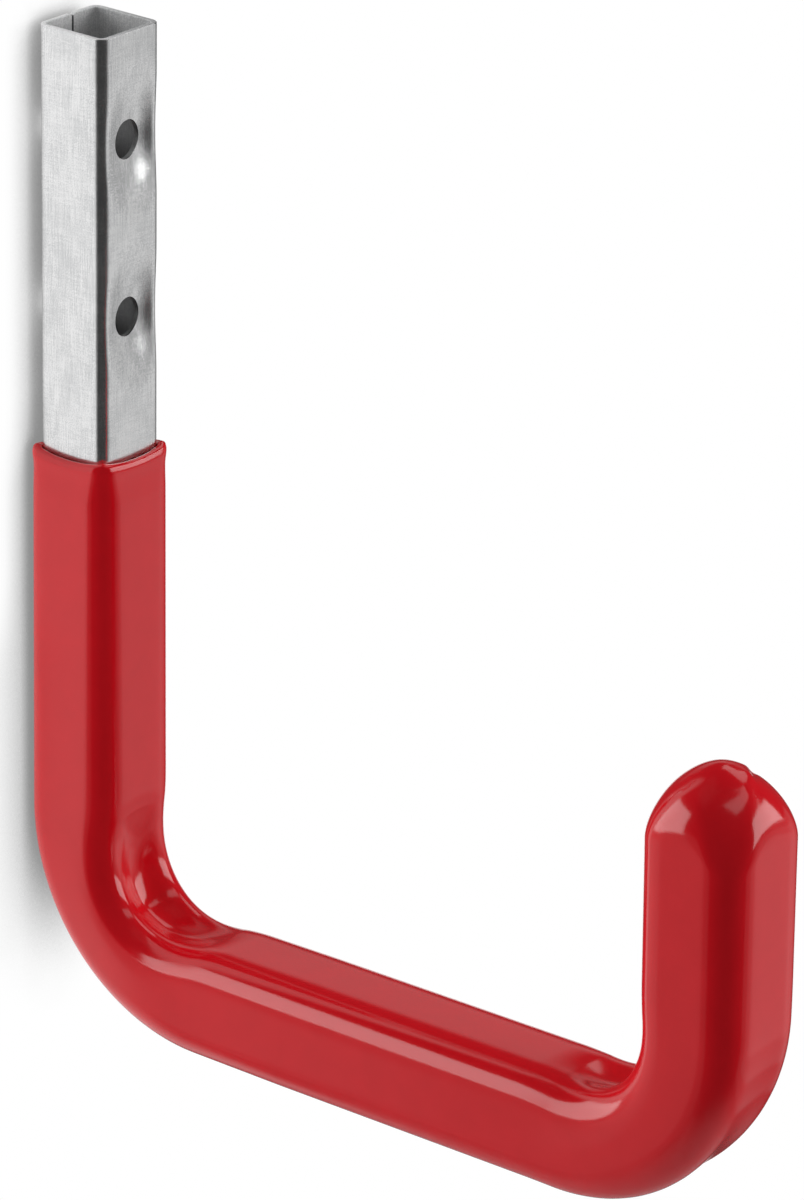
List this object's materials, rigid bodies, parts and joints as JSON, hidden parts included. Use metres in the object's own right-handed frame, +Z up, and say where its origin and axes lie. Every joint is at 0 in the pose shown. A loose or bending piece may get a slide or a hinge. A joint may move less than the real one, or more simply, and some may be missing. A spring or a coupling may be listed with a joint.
{
  "type": "garage utility hook",
  "caption": "Square steel tube bent to a J, its lower part dipped in glossy red vinyl with a domed tip, that screws to a wall so that tools hang on it.",
  "frame": {"origin": "on the face of the steel tube against the wall, midway between the screw holes", "axes": "+Z up along the leg, +Y into the wall, so that the hook reaches out along -Y, and X across the tube"},
  "size_m": [0.0202, 0.1567, 0.1814],
  "materials": {
    "steel": "zinc-plated sheet steel with fine pale streaks",
    "vinyl": "smooth, glossy dipped vinyl, soft to the touch"
  },
  "bodies": {
    "root": {"steel_tube": "steel", "dip_coating": "vinyl"}
  },
  "joints": []
}
